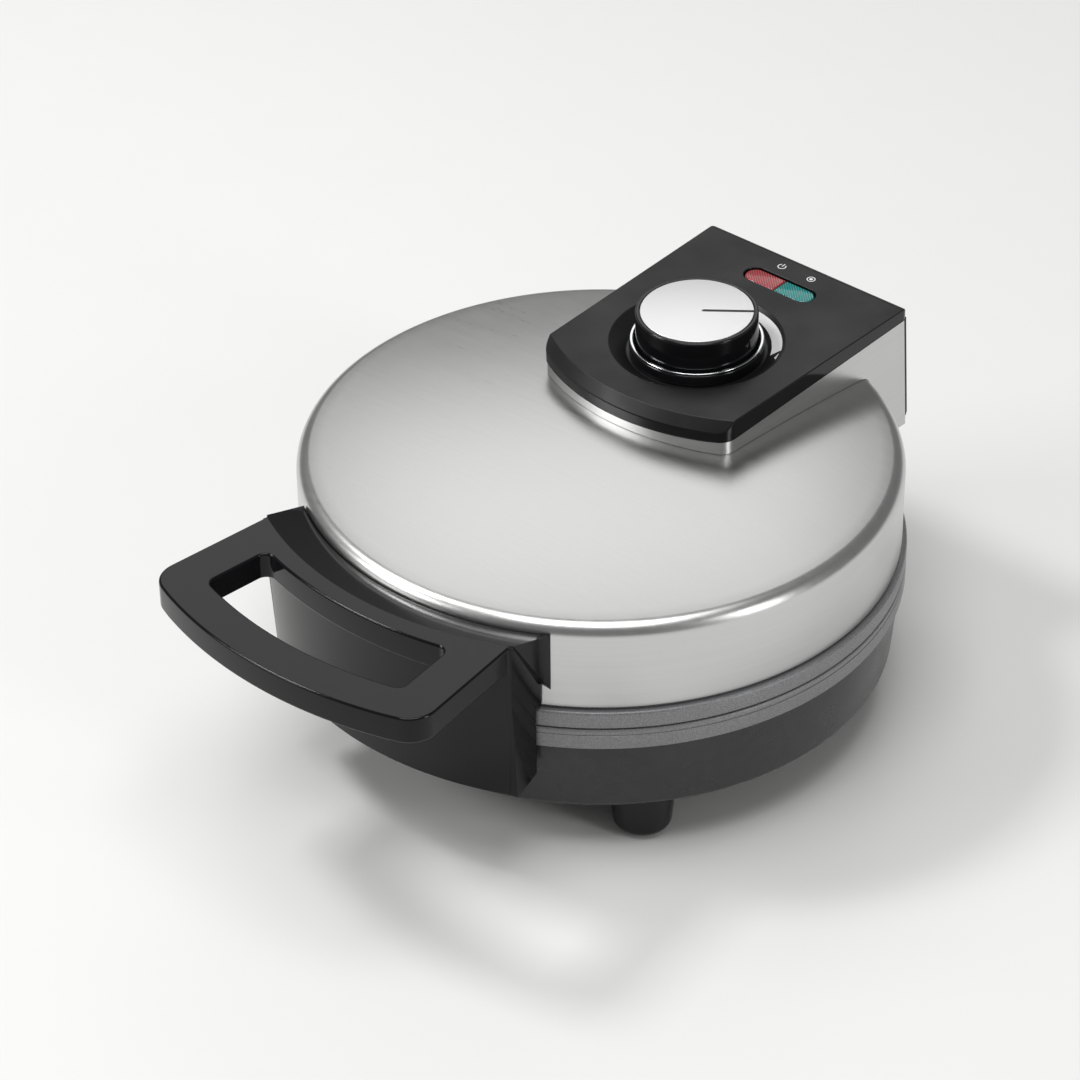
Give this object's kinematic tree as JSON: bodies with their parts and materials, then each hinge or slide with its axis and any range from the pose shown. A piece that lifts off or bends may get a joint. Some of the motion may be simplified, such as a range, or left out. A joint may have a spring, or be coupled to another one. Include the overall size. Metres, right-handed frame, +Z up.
{
  "type": "waffle maker",
  "caption": "Round Belgian waffle maker: hinged steel lid with front handle and control housing with dial and two lenses, over a black base with feet.",
  "frame": {"origin": "middle of the footprint, on the surface that the rubber foot pads stand on", "axes": "+Z up, handle towards -Y, hinge and control housing towards +Y, +X to the right of someone facing the handle side; lid closed"},
  "size_m": [0.2278, 0.3072, 0.1347],
  "materials": {
    "base_shell": "satin black moulding",
    "hinge_bracket": "satin black moulding",
    "cord_inlet": "matt black",
    "lower_plate_ring": "satin dark grey non-stick coating on a die casting",
    "lower_grid_plate": "satin dark grey non-stick coating on a die casting",
    "lower_heater": "heat-darkened sheath",
    "lower_heater_clip_left": "zinc plated steel",
    "lower_heater_clip_right": "zinc plated steel",
    "lower_reflector": "mill finish sheet",
    "terminal_block": "unglazed white",
    "foot_front_right": "polished black moulding",
    "foot_rear_right": "polished black moulding",
    "foot_rear_left": "polished black moulding",
    "foot_front_left": "polished black moulding",
    "foot_pad_front_right": "matt black",
    "foot_pad_rear_right": "matt black",
    "foot_pad_rear_left": "matt black",
    "foot_pad_front_left": "matt black",
    "base_screw_front_right": "zinc plated steel",
    "base_screw_rear_right": "zinc plated steel",
    "base_screw_rear_left": "zinc plated steel",
    "base_screw_front_left": "zinc plated steel",
    "hinge_pin_left": "zinc plated steel",
    "hinge_pin_right": "zinc plated steel",
    "bracket_screw_left": "zinc plated steel",
    "bracket_screw_right": "zinc plated steel",
    "lid_cover": "brushed along X, satin",
    "upper_plate_ring": "satin dark grey non-stick coating on a die casting",
    "upper_grid_plate": "satin dark grey non-stick coating on a die casting",
    "upper_heater": "heat-darkened sheath",
    "upper_heater_clip_left": "zinc plated steel",
    "upper_heater_clip_right": "zinc plated steel",
    "upper_reflector": "mill finish sheet",
    "handle": "polished black moulding",
    "handle_screw_left": "zinc plated steel",
    "handle_screw_right": "zinc plated steel",
    "hinge_arm_left": "zinc plated steel",
    "hinge_arm_right": "zinc plated steel",
    "hinge_arm_screw_left": "zinc plated steel",
    "hinge_arm_screw_right": "zinc plated steel",
    "control_housing": "brushed along X, satin",
    "housing_back_cover": "satin black moulding",
    "back_cover_screw_left": "zinc plated steel",
    "back_cover_screw_right": "zinc plated steel",
    "control_panel": "polished black moulding",
    "dial_collar": "polished black moulding",
    "collar_trim": "bright",
    "power_lens": "red, finely ribbed",
    "ready_lens": "blue-green, finely ribbed",
    "lamp_holder": "satin black moulding",
    "power_lamp": "clear lamp envelope",
    "ready_lamp": "clear lamp envelope",
    "thermostat": "unglazed white",
    "thermostat_bracket": "zinc plated steel",
    "thermal_fuse": "unglazed white",
    "knob": "polished black moulding",
    "knob_disc": "fine matt silver disc",
    "thermostat_shaft": "zinc plated steel"
  },
  "bodies": {
    "base": {"base_shell": "base_shell", "hinge_bracket": "hinge_bracket", "cord_inlet": "cord_inlet", "lower_plate_ring": "lower_plate_ring", "lower_grid_plate": "lower_grid_plate", "lower_heater": "lower_heater", "lower_heater_clip_left": "lower_heater_clip_left", "lower_heater_clip_right": "lower_heater_clip_right", "lower_reflector": "lower_reflector", "terminal_block": "terminal_block", "foot_front_right": "foot_front_right", "foot_rear_right": "foot_rear_right", "foot_rear_left": "foot_rear_left", "foot_front_left": "foot_front_left", "foot_pad_front_right": "foot_pad_front_right", "foot_pad_rear_right": "foot_pad_rear_right", "foot_pad_rear_left": "foot_pad_rear_left", "foot_pad_front_left": "foot_pad_front_left", "base_screw_front_right": "base_screw_front_right", "base_screw_rear_right": "base_screw_rear_right", "base_screw_rear_left": "base_screw_rear_left", "base_screw_front_left": "base_screw_front_left", "hinge_pin_left": "hinge_pin_left", "hinge_pin_right": "hinge_pin_right", "bracket_screw_left": "bracket_screw_left", "bracket_screw_right": "bracket_screw_right"},
    "lid": {"lid_cover": "lid_cover", "upper_plate_ring": "upper_plate_ring", "upper_grid_plate": "upper_grid_plate", "upper_heater": "upper_heater", "upper_heater_clip_left": "upper_heater_clip_left", "upper_heater_clip_right": "upper_heater_clip_right", "upper_reflector": "upper_reflector", "handle": "handle", "handle_screw_left": "handle_screw_left", "handle_screw_right": "handle_screw_right", "hinge_arm_left": "hinge_arm_left", "hinge_arm_right": "hinge_arm_right", "hinge_arm_screw_left": "hinge_arm_screw_left", "hinge_arm_screw_right": "hinge_arm_screw_right", "control_housing": "control_housing", "housing_back_cover": "housing_back_cover", "back_cover_screw_left": "back_cover_screw_left", "back_cover_screw_right": "back_cover_screw_right", "control_panel": "control_panel", "dial_collar": "dial_collar", "collar_trim": "collar_trim", "power_lens": "power_lens", "ready_lens": "ready_lens", "lamp_holder": "lamp_holder", "power_lamp": "power_lamp", "ready_lamp": "ready_lamp", "thermostat": "thermostat", "thermostat_bracket": "thermostat_bracket", "thermal_fuse": "thermal_fuse"},
    "knob": {"knob": "knob", "knob_disc": "knob_disc", "thermostat_shaft": "thermostat_shaft"}
  },
  "joints": [
    {"name": "lid_hinge", "type": "hinge", "parent": "base", "child": "lid", "pos_m": [0, 0.14591, 0.0586], "axis": [-1, 0, 0], "range_deg": [0, 100]},
    {"name": "knob_turn", "type": "hinge", "parent": "lid", "child": "knob", "pos_m": [0, 0.0802, 0.12138], "axis": [0, -0.0197, 0.9998], "range_deg": [-9.8, 114.2]}
  ]
}
